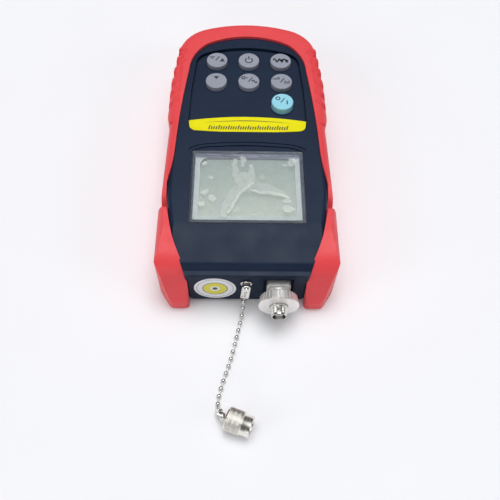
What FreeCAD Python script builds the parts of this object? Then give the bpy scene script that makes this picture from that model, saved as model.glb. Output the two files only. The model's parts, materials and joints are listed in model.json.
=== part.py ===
"""Handheld optical power meter in a rubber boot, lying on its back.

Millimetres, +Z up. While the parts are built, Y = 0 is the outer face of the connector end
panel, +Y runs towards the battery end, X = 0 is the middle and Z = 0 is the surface the
meter lies on. write_parts moves everything along Y, so that the origin of the finished
model is under the middle of the meter, from the port's tip to the rubber at the far end.
"""
import FreeCAD, Part
import math
import os

os.makedirs("parts", exist_ok=True)
V = FreeCAD.Vector

# ---------------------------------------------------------------- driving dimensions
CASE_LENGTH = 161.0         # end panel to the end of the rubber boot
PORT_REACH = 14.4           # how far the optical port stands out of the end panel
BOOT_TOP = 33.2             # rim of the boot round the front face
SHELL_FRONT = 31.8          # flat front face of the hard shell
SHELL_BACK = 1.4            # back face of the hard shell
SPLIT_Z = 16.0              # where the two shells meet
WALL = 2.2                  # shell wall
CEILING = 29.0              # inside of the front face
FLOOR = 3.4                 # inside of the back face
SHELL_HALF = 38.2           # half the shell's width
PANEL_HALF = 26.9           # half the end opening's width
PANEL_LOW, PANEL_HIGH = 1.9, 24.4
PANEL_THICK = 2.5
HORN_HALF, HORN_TIP = 42.1, -4.6    # the horns' outer sides, and how far they pass the panel
GRIP_HALF = 41.3
GAP = 0.25                  # usual gap round a loose-fitting piece

# front face
KEYPAD_FLOOR = 30.6
KEY_RADIUS = 5.65
KEY_PITCH_X, KEY_PITCH_Y = 17.35, 15.8
KEY_MIDDLE_X, KEY_ROW_1_Y = 0.65, 129.4
KEY_TOP, BLUE_KEY_TOP = 33.0, 34.0
KEY_FOOT, KEY_TRAVEL = 27.4, 0.9
WINDOW_SEAT = 30.5
WINDOW_TOP = 31.6
WINDOW_HALF, WINDOW_NEAR, WINDOW_FAR = 27.3, 23.3, 66.3
VIEW_HALF, VIEW_NEAR, VIEW_FAR = 25.65, 26.2, 65.2
DISPLAY_HALF, DISPLAY_NEAR, DISPLAY_FAR = 23.0, 28.6, 63.3
BROW_SHELF, BROW_FLOOR = 31.35, 30.75

# inside
BOARD_LOW, BOARD_HIGH = 21.6, 23.2
CELL_RADIUS, CELL_LENGTH = 7.1, 50.0
BAY_HALF, BAY_NEAR, BAY_FAR, BAY_TOP = 23.0, 90.0, 147.0, 19.0
CASE_SCREWS = [(-27.5, 18.0), (27.5, 18.0), (-30.5, 112.0), (30.5, 112.0)]
BOARD_SCREWS = [(-14.0, 16.0), (14.0, 16.0), (-24.0, 78.0), (24.0, 78.0)]
COVER_SCREW = (0.0, 84.5)

# connector end
PORT_X, PORT_Z = 14.5, 13.3
NUT_RADIUS = 9.35
POST_RADIUS = 5.5
BARREL_RADIUS, BARREL_BORE = 3.6, 3.05
ANCHOR_X, ANCHOR_Z = -0.3, 18.4
STICKER_X, STICKER_Z, STICKER_RADIUS = -14.7, 12.9, 9.7

# chain and cap
CHAIN_RADIUS = 1.1
CHAIN_ROUTE = [
    (-1.1, -3.0, 10.2), (-1.5, -4.0, 7.2), (-1.8, -6.2, 3.7), (-2.4, -9.8, 1.7),
    (-3.3, -13.6, 1.15), (-4.3, -18.0, 1.15),
    (-5.7, -24.6, 1.15), (-7.4, -31.4, 1.15), (-9.7, -38.2, 1.15), (-11.5, -44.4, 1.15),
    (-12.5, -49.6, 1.3), (-12.3, -53.4, 2.3),
]
CAP_RADIUS, CAP_LENGTH = 5.2, 7.6
CAP_NECK_RADIUS, CAP_NECK_LENGTH = 4.6, 3.9
CAP_BORE, CAP_BASE = 3.9, 2.0
CAP_REAR = V(-8.6, -57.3, CAP_RADIUS)
CAP_AXIS = V(10.8, -4.1, 0).normalize()

PARTS = {}


# ---------------------------------------------------------------- helpers
def plan(u, v):
    """A point of a plan outline: u along X, v along Y."""
    return V(u, v, 0)


def side(u, v):
    """A point of a side profile: u along Y, v along Z."""
    return V(0, u, v)


def front(u, v):
    """A point of an end view: u along X, v along Z."""
    return V(u, 0, v)


def outline(corners, place=plan):
    """A closed wire through corners (u, v, radius), each corner rounded by its radius."""
    points = [place(u, v) for u, v, _ in corners]
    starts, ends, arcs = [], [], []
    for i, (_, _, radius) in enumerate(corners):
        here, before, after = points[i], points[i - 1], points[(i + 1) % len(points)]
        back, ahead = (before - here).normalize(), (after - here).normalize()
        half = back.getAngle(ahead) / 2
        if radius == 0 or half > math.pi / 2 - 1e-4:
            starts.append(here)
            ends.append(here)
            arcs.append(None)
            continue
        reach = radius / math.tan(half)
        middle = (back + ahead).normalize()
        starts.append(here + back * reach)
        ends.append(here + ahead * reach)
        top = here + middle * (radius / math.sin(half) - radius)
        arcs.append(Part.Arc(starts[-1], top, ends[-1]).toShape())
    edges = []
    for i, arc in enumerate(arcs):
        if arc is not None:
            edges.append(arc)
        following = starts[(i + 1) % len(starts)]
        if (following - ends[i]).Length > 1e-6:
            edges.append(Part.LineSegment(ends[i], following).toShape())
    return Part.Wire(edges)


def both_sides(right_half):
    """The corners of an outline from those of its right half, listed from the near end."""
    left = [(-u, v, r) for u, v, r in reversed(right_half) if u != 0]
    return right_half + left


def crown(half, end, slope, end_radius, corner_radius):
    """The last corners of a right half: a rounded corner, then a far end domed to end."""
    tilt = math.radians(slope)
    peak = end + end_radius * (1 / math.cos(tilt) - 1)
    return [(half, peak - half * math.tan(tilt), corner_radius), (0, peak, end_radius)]


def prism(wire, vector):
    return Part.Face(wire).extrude(vector)


def slab(wire, low, high):
    """A plan outline made solid between two heights."""
    solid = prism(wire, V(0, 0, high - low))
    solid.translate(V(0, 0, low))
    return solid


def plate(x0, x1, y0, y1, z0, z1, radius=0):
    """A flat plate whose upright edges are rounded."""
    corners = [(x0, y0, radius), (x1, y0, radius), (x1, y1, radius), (x0, y1, radius)]
    return slab(outline(corners), z0, z1)


def end_plate(x0, x1, z0, z1, y0, y1, radius):
    """A plate parallel to the end panel, with rounded corners."""
    corners = [(x0, z0, radius), (x1, z0, radius), (x1, z1, radius), (x0, z1, radius)]
    solid = prism(outline(corners, front), V(0, y1 - y0, 0))
    solid.translate(V(0, y0, 0))
    return solid


def rod(radius, start, end):
    start, end = V(*start), V(*end)
    return Part.makeCylinder(radius, (end - start).Length, start, end - start)


def turned(profile, origin, axis):
    """A turned piece: (radius, distance along the axis) points revolved about the axis."""
    points = [V(r, 0, d) for r, d in profile]
    solid = Part.Face(Part.makePolygon(points + [points[0]])).revolve(V(0, 0, 0), V(0, 0, 1), 360)
    solid.Placement = FreeCAD.Placement(origin, FreeCAD.Rotation(V(0, 0, 1), axis))
    return solid


def fillet_near(solid, radius, wanted):
    """Rounds the edges whose middle point satisfies wanted."""
    edges = [e for e in solid.Edges if wanted(e.CenterOfMass)]
    return solid.makeFillet(radius, edges)


def keep(name, shape):
    PARTS[name] = shape.removeSplitter()


# ---------------------------------------------------------------- shell envelope
def shell_outline():
    """Plan outline of the hard shell: narrow connector end, long sides, domed far end."""
    return outline(both_sides([
        (27.9, 0, 1.5), (35.0, 18.0, 50), (SHELL_HALF, 40, 80), (37.9, 100, 300),
    ] + crown(36.3, CASE_LENGTH - 3.5, 15, 76, 19)))


def shell_profile():
    """Side view of the shell: the front face slopes down to the lip over the end panel."""
    return outline([
        (0, SHELL_BACK, 1.0), (0, 25.2, 0.3), (2.3, 25.5, 0.6), (4.6, 28.2, 2.5),
        (20.5, SHELL_FRONT, 40), (CASE_LENGTH, SHELL_FRONT, 0), (CASE_LENGTH, SHELL_BACK, 0),
    ], side)


def shell_envelope():
    """The solid shape that the two closed shells fill."""
    body = slab(shell_outline(), SHELL_BACK, SHELL_FRONT)
    body = body.makeFillet(2.6, [e for e in body.Edges if abs(e.CenterOfMass.z - SHELL_FRONT) < 1e-3])
    body = body.makeFillet(2.6, [e for e in body.Edges if abs(e.CenterOfMass.z - SHELL_BACK) < 1e-3])
    sides = prism(shell_profile(), V(2 * SHELL_HALF + 10, 0, 0))
    sides.translate(V(-SHELL_HALF - 5, 0, 0))
    return body.common(sides)


def shell_cavity():
    """The hollow inside the closed shells."""
    inner = shell_outline().makeOffset2D(-WALL)
    hollow = slab(inner, FLOOR, CEILING)
    profile = outline([
        (2.5, FLOOR, 0), (2.5, 23.2, 1), (6.5, 25.6, 3), (19.5, CEILING, 10),
        (CASE_LENGTH, CEILING, 0), (CASE_LENGTH, FLOOR, 0),
    ], side)
    limit = prism(profile, V(2 * SHELL_HALF, 0, 0))
    limit.translate(V(-SHELL_HALF, 0, 0))
    return hollow.common(limit)


def shell_half(envelope, cavity, low, high):
    """The part of the shell's walls between two heights."""
    band = plate(-50, 50, -5, CASE_LENGTH, low, high)
    return envelope.cut(cavity).common(band)


def joint_tongue():
    """The tongue round the back shell's rim that locates the front shell."""
    outer = shell_outline().makeOffset2D(-WALL * 0.55)
    inner = shell_outline().makeOffset2D(-WALL)
    ring = slab(outer, SPLIT_Z, SPLIT_Z + 1.2).cut(slab(inner, SPLIT_Z - 1, SPLIT_Z + 2))
    return ring.cut(plate(-40, 40, -5, 6, SPLIT_Z - 1, SPLIT_Z + 3))


# ---------------------------------------------------------------- front shell
def keypad_outline(inset=0.0):
    """Arched panel round the keys and the name strip."""
    i = inset
    return outline(both_sides([
        (26.2 - i, 78.6 + i, 5 - i), (30.4 - i, 82.0 + i, 4 - i), (30.2 - i, 88, 0),
        (29.7 - i, 108, 120), (27.6 - i, 134.4 - i, 9 - i), (0, 144.6 - i, 62 - 2 * i),
    ]))


def key_places():
    """Name and middle of each key."""
    columns = [KEY_MIDDLE_X - KEY_PITCH_X, KEY_MIDDLE_X, KEY_MIDDLE_X + KEY_PITCH_X]
    rows = [KEY_ROW_1_Y - i * KEY_PITCH_Y for i in range(3)]
    names = {
        "key_up": (0, 0), "key_power": (1, 0), "key_mode": (2, 0),
        "key_down": (0, 1), "key_wavelength": (1, 1), "key_unit": (2, 1),
        "key_source": (2, 2),
    }
    return {name: (columns[c], rows[r]) for name, (c, r) in names.items()}


def brow_outline(half, shoulder, peak):
    """One step of the brow: flat along the window, arched on the other side."""
    return outline(both_sides([
        (half, WINDOW_FAR - 1, 0), (half, shoulder - 2.6, 1.2), (half - 5.4, shoulder, 14),
        (0, peak, 150),
    ]))


def brow_scoop():
    """The crescent above the display, stepped down from the face to the window."""
    shelf = slab(brow_outline(28.9, 70.4, 73.0), BROW_SHELF, SHELL_FRONT + 1)
    return shelf.fuse(slab(brow_outline(27.3, 69.2, 70.6), BROW_FLOOR, SHELL_FRONT + 1))


def front_bosses():
    """Screw bosses and board pillars under the front face, with their holes."""
    solid, holes = [], []
    for x, y in CASE_SCREWS:
        solid.append(rod(3.75, (x, y, SPLIT_Z), (x, y, CEILING + 0.5)))
        holes.append(rod(1.5, (x, y, SPLIT_Z - 1), (x, y, 24.5)))
    for x, y in BOARD_SCREWS:
        solid.append(rod(2.5, (x, y, BOARD_HIGH), (x, y, CEILING + 0.5)))
        holes.append(rod(1.05, (x, y, BOARD_HIGH - 1), (x, y, 27.5)))
    return solid, holes


def front_shell(envelope, cavity):
    shell = shell_half(envelope, cavity, SPLIT_Z, 40)
    bosses, holes = front_bosses()
    shell = shell.fuse([b.common(envelope) for b in bosses])
    shell = shell.cut(slab(keypad_outline(), KEYPAD_FLOOR, 40))
    groove = slab(keypad_outline(), KEYPAD_FLOOR - 0.7, KEYPAD_FLOOR)
    shell = shell.cut(groove.cut(slab(keypad_outline(0.8), 20, 40)))
    shell = shell.cut([rod(KEY_RADIUS + GAP, (x, y, 20), (x, y, 40)) for x, y in key_places().values()])
    shell = shell.cut(brow_scoop())
    shell = shell.cut(plate(-WINDOW_HALF, WINDOW_HALF, WINDOW_NEAR, WINDOW_FAR, WINDOW_SEAT, 40, 1.2))
    shell = shell.cut(plate(-VIEW_HALF, VIEW_HALF, VIEW_NEAR, VIEW_FAR, 20, 40, 1))
    shell = shell.cut(holes)
    shell = shell.cut(joint_tongue())
    keep("front_shell", shell.cut(panel_opening()))


def panel_opening():
    """The rebated opening at the connector end that the panel sits in."""
    low, high = PANEL_LOW - GAP, PANEL_HIGH + GAP
    return end_plate(-PANEL_HALF - GAP, PANEL_HALF + GAP, low, high, -2, PANEL_THICK + 0.05, 2.4)


# ---------------------------------------------------------------- back shell and battery bay
def cover_outline(grow=0.0):
    """The battery cover: a wide plate with a tongue for its screw."""
    g = grow
    return outline(both_sides([
        (5.5 + g, 80.5 - g, 3), (5.5 + g, 88.0 - g, 2), (24.6 + g, 88.0 - g, 3),
        (24.6 + g, 148.6 + g, 3),
    ]))


def battery_bay():
    """The walls and roof of the battery bay, standing on a ledge round its mouth."""
    ledge = plate(-26.4, 26.4, 86.4, 149.6, SHELL_BACK + 0.6, 5.0, 3)
    walls = plate(-BAY_HALF - 1.5, BAY_HALF + 1.5, BAY_NEAR - 1.5, BAY_FAR + 1.5, 4, BAY_TOP + 1.5, 2)
    inside = plate(-BAY_HALF, BAY_HALF, BAY_NEAR, BAY_FAR, 0, BAY_TOP, 1)
    ribs = []
    for x in (-7.6, 7.6):
        ribs.append(plate(x - 0.5, x + 0.5, BAY_NEAR, BAY_FAR, 14.5, BAY_TOP + 0.5))
    return ledge.fuse(walls).cut(inside).fuse(ribs)


def back_shell(envelope, cavity):
    shell = shell_half(envelope, cavity, 0, SPLIT_Z)
    posts = [rod(3.75, (x, y, SHELL_BACK + 0.5), (x, y, SPLIT_Z)) for x, y in CASE_SCREWS]
    x, y = COVER_SCREW
    posts.append(rod(3.2, (x, y, FLOOR - 0.5), (x, y, 12.0)))
    shell = shell.fuse([battery_bay(), joint_tongue()] + posts)
    shell = shell.common(envelope)
    shell = shell.cut(slab(cover_outline(GAP), 0, FLOOR))
    shell = shell.cut(plate(-BAY_HALF, BAY_HALF, BAY_NEAR, BAY_FAR, 0, 10, 1))
    holes = [rod(1.7, (x, y, 0), (x, y, SPLIT_Z + 1)) for x, y in CASE_SCREWS]
    holes += [rod(3.1, (x, y, 0), (x, y, 4.6)) for x, y in CASE_SCREWS]
    holes.append(rod(1.5, (COVER_SCREW[0], COVER_SCREW[1], 0), (COVER_SCREW[0], COVER_SCREW[1], 10)))
    shell = shell.cut(holes)
    keep("back_shell", shell.cut(panel_opening()))


def battery_cover():
    cover = slab(cover_outline(), SHELL_BACK, FLOOR - 0.1)
    x, y = COVER_SCREW
    cover = cover.cut(rod(1.7, (x, y, 0), (x, y, 5)))
    cover = cover.cut(rod(2.9, (x, y, 0), (x, y, 2.4)))
    for i in range(5):
        groove = plate(-9 + i, 9 - i, 141 - 2.4 * i, 142 - 2.4 * i, SHELL_BACK - 1, SHELL_BACK + 0.5, 0.4)
        cover = cover.cut(groove)
    keep("battery_cover", cover)


def cell(x, y_negative, direction):
    """One AA cell; direction is +1 where the nub points to the far end."""
    profile = [
        (0, 0), (6.4, 0), (CELL_RADIUS, 0.6), (CELL_RADIUS, CELL_LENGTH - 1.7),
        (6.5, CELL_LENGTH - 1.2), (2.75, CELL_LENGTH - 1.2), (2.75, CELL_LENGTH), (0, CELL_LENGTH),
    ]
    return turned(profile, V(x, y_negative, 11.2), V(0, direction, 0))


def batteries():
    near, far = 93.4, 93.4 + CELL_LENGTH
    keep("battery_left", cell(-15.2, near, 1))
    keep("battery_middle", cell(0, far, -1))
    keep("battery_right", cell(15.2, near, 1))


def battery_contacts():
    """Six sprung contact leaves, one at each end of each cell."""
    leaves = []
    for x in (-15.2, 0, 15.2):
        for wall, reach in ((BAY_NEAR, 93.35), (BAY_FAR, 143.45)):
            bow = (reach - wall) / abs(reach - wall)
            profile = outline([
                (wall, 6.0, 0), (wall + bow * 0.5, 6.0, 0.1), (reach, 11.2, 2.0),
                (wall + bow * 0.5, 16.4, 0.1), (wall, 16.4, 0), (wall, 15.6, 0),
                (reach - bow * 0.6, 11.2, 1.6), (wall, 6.8, 0),
            ], side)
            leaf = prism(profile, V(7.0, 0, 0))
            leaf.translate(V(x - 3.5, 0, 0))
            leaves.append(leaf)
    PARTS["battery_contacts"] = Part.makeCompound(leaves)


# ---------------------------------------------------------------- screws
def screw(x, y, seat, head_radius, head_height, shank_radius, length):
    """A pan-head screw driven upwards: its head is below the seat, with a cross recess."""
    head = rod(head_radius, (x, y, seat - head_height), (x, y, seat))
    head = fillet_near(head, head_height * 0.45, lambda p: p.z < seat - head_height + 1e-3)
    shank = rod(shank_radius, (x, y, seat), (x, y, seat + length))
    body = head.fuse(shank)
    arm, deep = head_radius * 0.6, seat - head_height * 0.45
    for half_x, half_y in ((arm, 0.35), (0.35, arm)):
        body = body.cut(plate(x - half_x, x + half_x, y - half_y, y + half_y, seat - head_height - 1, deep))
    return body


def fasteners():
    case = [screw(x, y, 4.6, 2.8, 2.0, 1.4, 18.0) for x, y in CASE_SCREWS]
    PARTS["case_screws"] = Part.makeCompound(case)
    board = [screw(x, y, BOARD_LOW, 1.9, 1.2, 1.0, 5.2) for x, y in BOARD_SCREWS]
    PARTS["board_screws"] = Part.makeCompound(board)
    keep("battery_cover_screw", screw(*COVER_SCREW, 2.4, 2.5, 1.0, 1.4, 7.0))


# ---------------------------------------------------------------- end panel and what is on it
def end_panel():
    face = end_plate(-PANEL_HALF, PANEL_HALF, PANEL_LOW, PANEL_HIGH, 0, PANEL_THICK, 2.2)
    plug = end_plate(-26.2, 26.2, FLOOR + 0.3, 22.8, PANEL_THICK, 4.2, 1.0)
    panel = face.fuse(plug)
    pocket = end_plate(PORT_X - 6.9, PORT_X + 6.9, 6.2, 22.4, -1, 1.4, 1.6)
    hole = rod(4.7, (PORT_X, -1, PORT_Z), (PORT_X, 8, PORT_Z))
    rivet = rod(1.25, (ANCHOR_X, -1, ANCHOR_Z), (ANCHOR_X, 8, ANCHOR_Z))
    keep("end_panel", panel.cut([pocket, hole, rivet]))


def port_sticker():
    keep("port_sticker", rod(STICKER_RADIUS, (STICKER_X, -0.15, STICKER_Z), (STICKER_X, 0, STICKER_Z)))


def port_turned(profile):
    """A turned piece on the port's axis; distances are measured outwards from the panel."""
    return turned(profile, V(PORT_X, 0, PORT_Z), V(0, -1, 0))


def detector_receptacle():
    """The port's fixed post: bevelled square shoulder, threaded post, and shank with the detector."""
    half, face = 5.45, -2.1
    block = end_plate(PORT_X - half, PORT_X + half, PORT_Z - half, PORT_Z + half, face, 1.4, 0.9)
    rim = [e for e in block.Edges if all(abs(p.Point.y - face) < 1e-3 for p in e.Vertexes)]
    block = block.makeChamfer(0.75, rim)
    post = port_turned([
        (0, -10), (4.5, -10), (4.5, 2.0), (5.0, 2.0), (5.0, 4.2),
        (POST_RADIUS, 4.6), (POST_RADIUS, 6.6), (POST_RADIUS - 0.3, 7.0), (0, 7.0),
    ])
    body = block.fuse(post)
    can_seat = rod(2.85, (PORT_X, 5.0, PORT_Z), (PORT_X, 11, PORT_Z))
    light_path = rod(1.9, (PORT_X, -8, PORT_Z), (PORT_X, 11, PORT_Z))
    keep("detector_receptacle", body.cut([can_seat, light_path]))


def receptacle_nut():
    """Hexagon nut that clamps the receptacle from inside the panel."""
    corners = []
    for i in range(6):
        a = math.radians(60 * i + 30)
        corners.append((PORT_X + 7.2 * math.cos(a), PORT_Z + 7.2 * math.sin(a), 0.3))
    hexagon = prism(outline(corners, front), V(0, 2.6, 0))
    hexagon.translate(V(0, 4.2, 0))
    keep("receptacle_nut", hexagon.cut(rod(4.55, (PORT_X, 3, PORT_Z), (PORT_X, 8, PORT_Z))))


def photodiode():
    """Metal-can detector with its leads, seated in the rear of the receptacle."""
    can = port_turned([
        (0, -5.1), (2.35, -5.1), (2.7, -5.5), (2.7, -10.05), (4.2, -10.05), (4.2, -11), (0, -11),
    ])
    leads = []
    for dx, dz in ((-1.3, 0), (1.3, 0), (0, 1.3)):
        start = (PORT_X + dx, 10.5, PORT_Z + dz)
        leads.append(rod(0.25, start, (PORT_X + dx, 17.0, PORT_Z + dz)))
    keep("photodiode", can.fuse(leads))


def adapter_sleeve():
    """Interchangeable adapter: flange inside the nut, collar and threaded barrel with a key window."""
    r, tip = BARREL_RADIUS, PORT_REACH
    thread = []
    for i in range(4):
        thread += [(r - 0.22, 10.95 + 0.75 * i), (r, 11.2 + 0.75 * i), (r, 11.3 + 0.75 * i)]
    body = port_turned([
        (1.62, 7.0), (5.3, 7.0), (5.3, 8.1), (4.05, 8.1), (4.05, 10.4), (3.85, 10.6), (r - 0.22, 10.6),
    ] + thread + [
        (r - 0.22, tip - 0.75), (r - 0.22, tip - 0.2), (r - 0.4, tip), (BARREL_BORE, tip),
        (BARREL_BORE, 9.2), (1.62, 9.2),
    ])
    far = -12.6
    window = end_plate(PORT_X - 1.3, PORT_X + 1.3, PORT_Z + 1, PORT_Z + 5, -tip + 0.7, far, 0)
    window = window.fuse(rod(1.3, (PORT_X, far, PORT_Z + 1), (PORT_X, far, PORT_Z + 5)))
    keep("adapter_sleeve", body.cut(window))


def alignment_sleeve():
    """Ceramic tube that holds the fibre's ferrule on the port's axis."""
    keep("alignment_sleeve", port_turned([(1.25, 7.2), (1.6, 7.2), (1.6, 13.4), (1.25, 13.4)]))


def adapter_nut():
    """Flared ring nut, coin-edged, that holds the adapter on the receptacle's thread."""
    r, rear = NUT_RADIUS, NUT_RADIUS - 0.7
    nut = port_turned([
        (POST_RADIUS + 0.2, 4.4), (rear - 0.6, 4.4), (rear, 4.9), (r, 9.0), (r - 0.35, 9.4),
        (4.3, 9.4), (4.3, 8.25), (POST_RADIUS + 0.2, 8.25),
    ])
    grooves = []
    count = 36
    for i in range(count):
        a = 2 * math.pi * i / count
        ends = []
        for reach, y in ((rear + 0.19, -4.9), (r + 0.19, -9.0)):
            ends.append(V(PORT_X + reach * math.cos(a), y, PORT_Z + reach * math.sin(a)))
        step = (ends[1] - ends[0]) * 0.3
        grooves.append(rod(0.33, ends[0] - step, ends[1] + step))
    keep("adapter_nut", nut.cut(grooves))


# ---------------------------------------------------------------- chain and dust cap
def chain_anchor():
    """Flanged rivet through the end panel that the chain's upper clasp hangs on."""
    profile = [
        (0, -5.3), (1.5, -5.3), (2.3, -4.8), (2.3, -4.25), (1.2, -4.25), (1.2, 0.3), (2.65, 0.3),
        (2.65, 0.6), (2.4, 0.85), (0.6, 0.85), (0.6, 3.35), (1.15, 3.35), (1.15, 3.6),
        (0.85, 3.8), (0, 3.8),
    ]
    keep("chain_anchor", turned(profile, V(ANCHOR_X, 0, ANCHOR_Z), V(0, -1, 0)))


def hung(body, start, end, flat_side):
    """Move a clasp drawn along Y from the origin so that it hangs from start towards end."""
    along = (end - start).normalize()
    normal = V(*flat_side)
    normal = (normal - along * normal.dot(along)).normalize()
    across = along.cross(normal)
    turn = FreeCAD.Matrix(
        across.x, along.x, normal.x, start.x, across.y, along.y, normal.y, start.y,
        across.z, along.z, normal.z, start.z, 0, 0, 0, 1)
    return body.transformShape(turn)


def keyhole(y, low):
    """The hole that a bead passes and the slit that then holds it."""
    return Part.makeCylinder(0.75, 4, V(0, y, 0)).fuse(plate(-0.38, 0.38, y, low, 0, 4))


def chain_clasp():
    """A flattened tube on the anchor's rivet; the chain's last bead is keyed into its lower end."""
    start, end = V(ANCHOR_X, -2.15, ANCHOR_Z), V(*CHAIN_ROUTE[0])
    length = (end - start).Length
    corners = [(-2.0, -1.6, 1.3), (2.0, -1.6, 1.3), (2.0, length, 0.5), (-2.0, length, 0.5)]
    body = slab(outline(corners), -1.0, 1.0)
    body = fillet_near(body, 0.3, lambda p: abs(abs(p.z) - 1.0) < 1e-3)
    eye = Part.makeCylinder(0.9, 4, V(0, 0, -2))
    keep("chain_clasp", hung(body.cut([eye, keyhole(3.1, length - 1.4)]), start, end, (0, -1, 0)))


def cap_clasp():
    """A folded clasp: a ring on the cap's rivet, a strap, and a socket for the chain's end."""
    start, end = CAP_REAR - CAP_AXIS * 1.7, V(*CHAIN_ROUTE[-1])
    length = (end - start).Length
    ring = Part.makeCylinder(1.95, 0.6, V(0, 0, -0.3))
    strap = plate(-1.2, 1.2, 0, 3.4, -0.3, 0.3)
    socket = plate(-1.65, 1.65, 2.6, length, -1.2, 1.2, 0.5)
    socket = fillet_near(socket, 0.5, lambda p: abs(abs(p.z) - 1.2) < 1e-3)
    eye = Part.makeCylinder(1.15, 4, V(0, 0, -2))
    body = ring.fuse([strap, socket]).cut([eye, keyhole(3.9, length - 0.8)])
    keep("cap_clasp", hung(body, start, end, CAP_AXIS))


def tube_path(route):
    """Straight runs joined by tangent arcs, each as large as its two runs allow."""
    points = [V(*p) for p in route]
    edges, radii, here = [], [], points[0]
    for before, corner, after in zip(points, points[1:], points[2:]):
        back, ahead = before - corner, after - corner
        run = min(back.Length, ahead.Length)
        back.normalize()
        ahead.normalize()
        half_turn = (math.pi - back.getAngle(ahead)) / 2
        radius = 0.45 * run / math.tan(half_turn)
        start, end = corner + back * 0.45 * run, corner + ahead * 0.45 * run
        inward = (back + ahead).normalize()
        top = corner + inward * (radius / math.cos(half_turn) - radius)
        edges.append(Part.LineSegment(here, start).toShape())
        edges.append(Part.Arc(start, top, end).toShape())
        radii.append(radius)
        here = end
    edges.append(Part.LineSegment(here, points[-1]).toShape())
    return Part.Wire(edges), radii


def bead_chain():
    path, radii = tube_path(CHAIN_ROUTE)
    start, ahead = V(*CHAIN_ROUTE[0]), V(*CHAIN_ROUTE[1]) - V(*CHAIN_ROUTE[0])
    section = Part.Wire(Part.makeCircle(CHAIN_RADIUS, start, ahead))
    tube = path.makePipeShell([section], True, False)
    expected = math.pi * CHAIN_RADIUS ** 2 * path.Length
    print("chain length %.1f, radii %s" % (path.Length, [round(r, 1) for r in radii]))
    print("chain volume %.2f, section times length %.2f" % (tube.Volume, expected))
    PARTS["bead_chain"] = tube


def dust_cap():
    """Knurled metal cap: threaded inside, open at the polished neck."""
    r, neck, end = CAP_RADIUS, CAP_NECK_RADIUS, CAP_LENGTH + CAP_NECK_LENGTH
    profile = [
        (0.6, 0), (r - 1.0, 0), (r, 0.8), (r, CAP_LENGTH - 0.5), (r - 0.4, CAP_LENGTH),
        (neck, CAP_LENGTH), (neck, end - 0.3), (neck - 0.3, end), (CAP_BORE, end),
        (CAP_BORE, CAP_BASE), (1.75, CAP_BASE), (1.75, CAP_BASE - 0.65), (0.6, CAP_BASE - 0.65),
    ]
    keep("dust_cap", turned(profile, CAP_REAR, CAP_AXIS))


def cap_rivet():
    """Swivel rivet in the cap's closed end, its head sunk in the base."""
    sunk = CAP_BASE - 0.65
    profile = [
        (0, -4.0), (0.9, -4.0), (1.45, -3.6), (1.45, -3.3), (0.55, -3.3), (0.55, sunk),
        (1.7, sunk), (1.7, sunk + 0.6), (0, sunk + 0.6),
    ]
    keep("cap_rivet", turned(profile, CAP_REAR, CAP_AXIS))


# ---------------------------------------------------------------- display, board and keys
def display():
    window = plate(-WINDOW_HALF + 0.15, WINDOW_HALF - 0.15, WINDOW_NEAR + 0.15, WINDOW_FAR - 0.15,
                   WINDOW_SEAT, WINDOW_TOP, 1.05)
    keep("display_window", window)
    film = outline([(-26.5, 23.9, 0.6), (26.9, 23.8, 0.6), (27.0, 65.8, 0.6), (-26.6, 65.2, 0.6)])
    keep("window_film", slab(film, WINDOW_TOP, WINDOW_TOP + 0.15))
    frame = plate(-26.3, 26.3, 24.4, 66.6, BOARD_HIGH, 28.9, 0.5)
    rim = plate(-VIEW_HALF + 0.3, VIEW_HALF - 0.3, VIEW_NEAR + 0.3, VIEW_FAR - 0.3, 28.0, 30.2, 0.8)
    pocket = plate(-24.4, 24.4, 27.2, 64.5, 20, 29.6)
    half, near, far = DISPLAY_HALF, DISPLAY_NEAR, DISPLAY_FAR
    view = outline([(-half, near, 0.8), (half, near, 0.8), (half, far, 4.5), (-half, far, 4.5)])
    keep("lcd_frame", frame.fuse(rim).cut([pocket, slab(view, 20, 40)]))
    keep("lcd_glass", plate(-24.3, 24.3, 27.3, 64.4, 27.6, 29.6))
    keep("lcd_backlight", plate(-24.2, 24.2, 27.4, 64.3, BOARD_HIGH, 27.6))


def main_board():
    board = slab(outline(both_sides([
        (22.6, 7.5, 1), (22.6, 23.6, 1), (26.5, 23.6, 1), (26.5, 141, 2), (20, 148, 2),
    ])), BOARD_LOW, BOARD_HIGH)
    board = board.cut([rod(1.2, (x, y, 20), (x, y, 25)) for x, y in BOARD_SCREWS])
    keep("main_board", board)


def board_components():
    """The larger parts on the underside of the board."""
    boxes = [(-8, 4, 40, 52, 2.2), (10, 17, 34, 41, 1.8), (-18, -12, 60, 66, 1.6), (6, 18, 62, 70, 2.6)]
    parts = [plate(x0, x1, y0, y1, BOARD_LOW - h, BOARD_LOW, 0.3) for x0, x1, y0, y1, h in boxes]
    for x, y in ((-18, 34), (-18, 46), (20, 52)):
        parts.append(rod(3.1, (x, y, BOARD_LOW - 7.5), (x, y, BOARD_LOW)))
    PARTS["board_components"] = Part.makeCompound(parts)


def key_mat():
    """Silicone mat on the board, with a dome under each key at its pressed height."""
    web = BOARD_HIGH + 0.9
    mat = plate(-25.6, 26.2, 89.5, 137.5, BOARD_HIGH, web, 2)
    rise = KEY_FOOT - KEY_TRAVEL - 0.3 - web
    domes = []
    for x, y in key_places().values():
        domes.append(Part.makeCone(5.0, 3.4, rise, V(x, y, web)))
    keep("key_mat", mat.fuse(domes))


def key(name, x, y, top):
    """A round key cap with a retaining flange under the front shell."""
    cap = rod(KEY_RADIUS, (x, y, KEY_FOOT), (x, y, top))
    cap = fillet_near(cap, 0.55, lambda p: p.z > top - 1e-3)
    flange = rod(KEY_RADIUS + 1.1, (x, y, KEY_FOOT), (x, y, CEILING - 0.1))
    hollow = rod(4.2, (x, y, KEY_FOOT - 1), (x, y, KEY_FOOT + 0.8))
    plunger = rod(1.9, (x, y, KEY_FOOT), (x, y, CEILING))
    keep(name, cap.fuse(flange).cut(hollow).fuse(plunger))


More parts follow.
